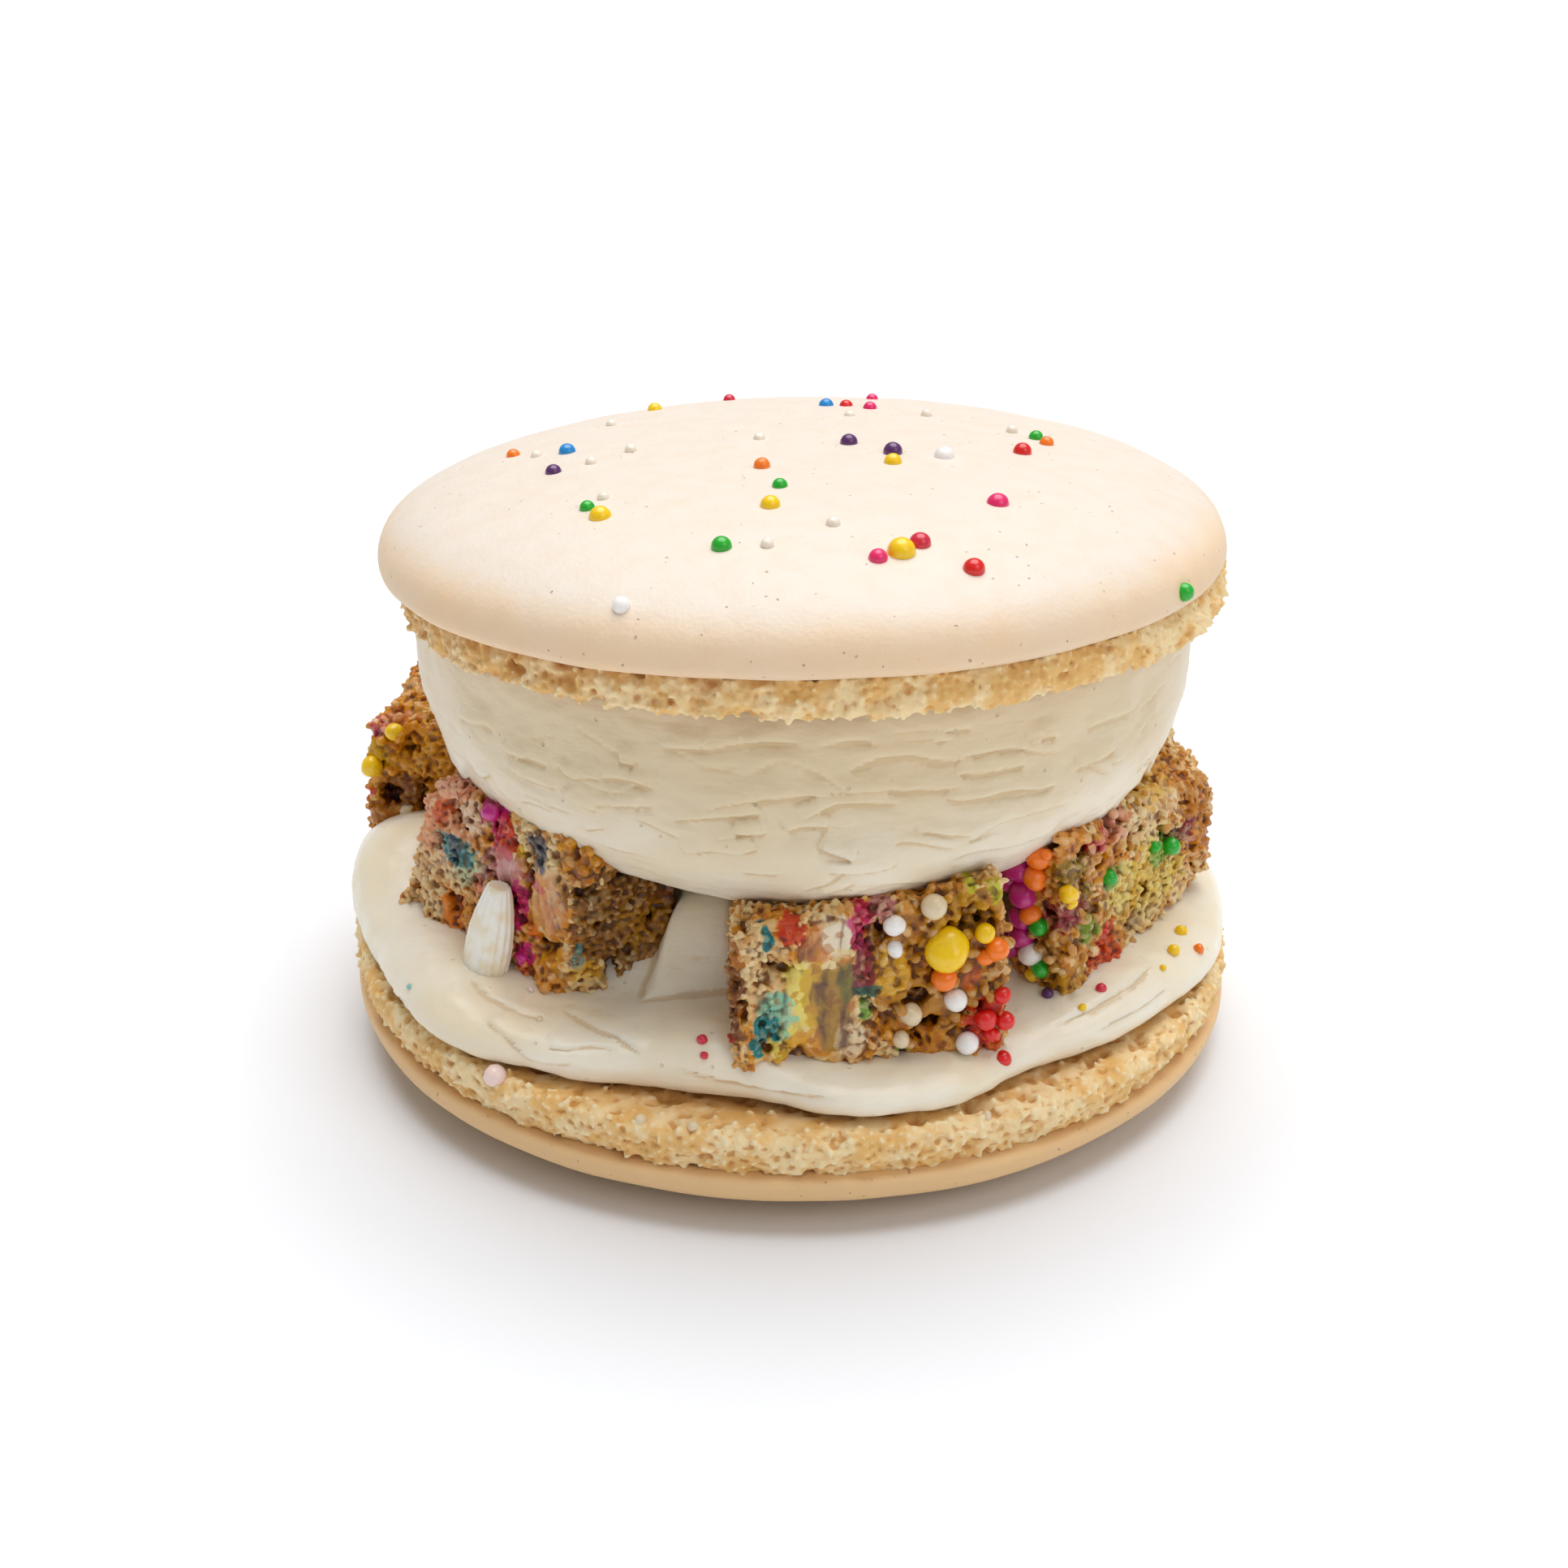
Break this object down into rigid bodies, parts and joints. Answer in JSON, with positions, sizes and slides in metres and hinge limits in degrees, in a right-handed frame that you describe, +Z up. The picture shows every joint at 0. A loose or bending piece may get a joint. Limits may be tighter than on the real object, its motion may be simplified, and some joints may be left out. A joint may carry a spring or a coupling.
{
  "type": "macaron",
  "caption": "Large macaron sandwich: round almond shells with ruffled feet, chunks of confetti cake standing in buttercream between them, and round sugar sprinkles set in the upper shell",
  "frame": {"origin": "on the floor under the middle of the lower shell, which is the middle of the whole macaron's box", "axes": "+Z up, through the stack of shells and filling; -Y towards the front, the side that shows the cake chunks; +X to the right of someone who looks at that side"},
  "size_m": [0.0758, 0.0756, 0.0526],
  "materials": {
    "shell": "baked almond meringue, smooth matte cream-beige skin with a paler upper side and a porous tan foot",
    "cream": "ivory buttercream, satin, with spatula ridges",
    "cake": "moist brown and golden cake crumb with coloured sprinkles and stains",
    "chip": "ivory, ridged, slightly glossy"
  },
  "bodies": {
    "root": {"bottom_shell": "shell", "top_shell": "shell", "lower_cream": "cream", "upper_cream": "cream", "cake_front": "cake", "cake_left": "cake", "cake_right": "cake", "cake_back_left": "cake", "cake_back_right": "cake", "cake_back": "cake", "cake_rear_left": "cake", "white_chip": "chip"}
  },
  "joints": []
}
